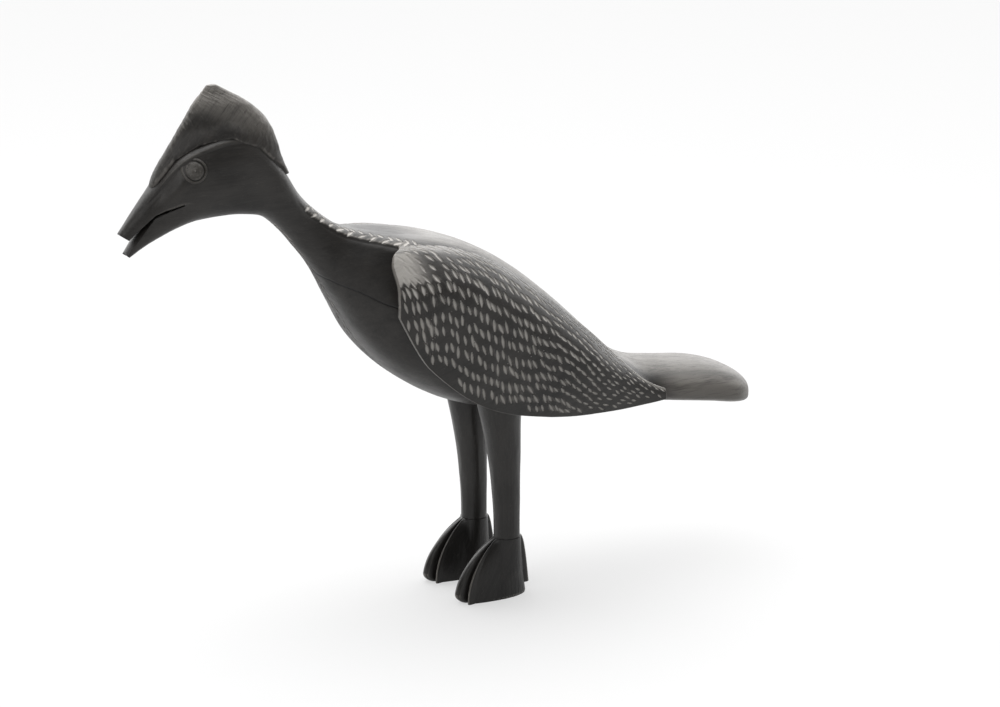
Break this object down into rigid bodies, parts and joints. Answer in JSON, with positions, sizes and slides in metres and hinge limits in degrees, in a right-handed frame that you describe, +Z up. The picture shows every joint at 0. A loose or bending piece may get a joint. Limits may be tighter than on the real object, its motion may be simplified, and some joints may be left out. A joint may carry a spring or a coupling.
{
  "type": "carved wooden bird figure",
  "caption": "Standing long-necked bird carved in dark wood, with an open beak, a tall casque on its head, folded notched wings, a flat tail and clawed feet on bare soles.",
  "frame": {"origin": "on the ground, under the middle of the bird's bounding box", "axes": "-X towards the beak, +X towards the tail, -Y the bird's left side, +Z up"},
  "size_m": [0.6724, 0.1736, 0.532],
  "materials": {
    "body_wood": "dark stain, polished by handling",
    "casque_wood": "dark stain, worn at the edges, fine tool marks",
    "wing_wood": "dark stain with pale cut notches",
    "leg_wood": "dark stain, smooth",
    "foot_wood": "dark stain, worn at the edges",
    "eye_wood": "dark stain, turned groove",
    "peg_wood": "bare, hidden inside the joints"
  },
  "bodies": {
    "root": {"body": "body_wood", "casque": "casque_wood", "casque_peg": "peg_wood", "left_wing": "wing_wood", "right_wing": "wing_wood", "left_wing_front_peg": "peg_wood", "right_wing_front_peg": "peg_wood", "left_wing_rear_peg": "peg_wood", "right_wing_rear_peg": "peg_wood", "left_leg": "leg_wood", "right_leg": "leg_wood", "left_foot": "foot_wood", "right_foot": "foot_wood", "left_eye": "eye_wood", "right_eye": "eye_wood"}
  },
  "joints": []
}
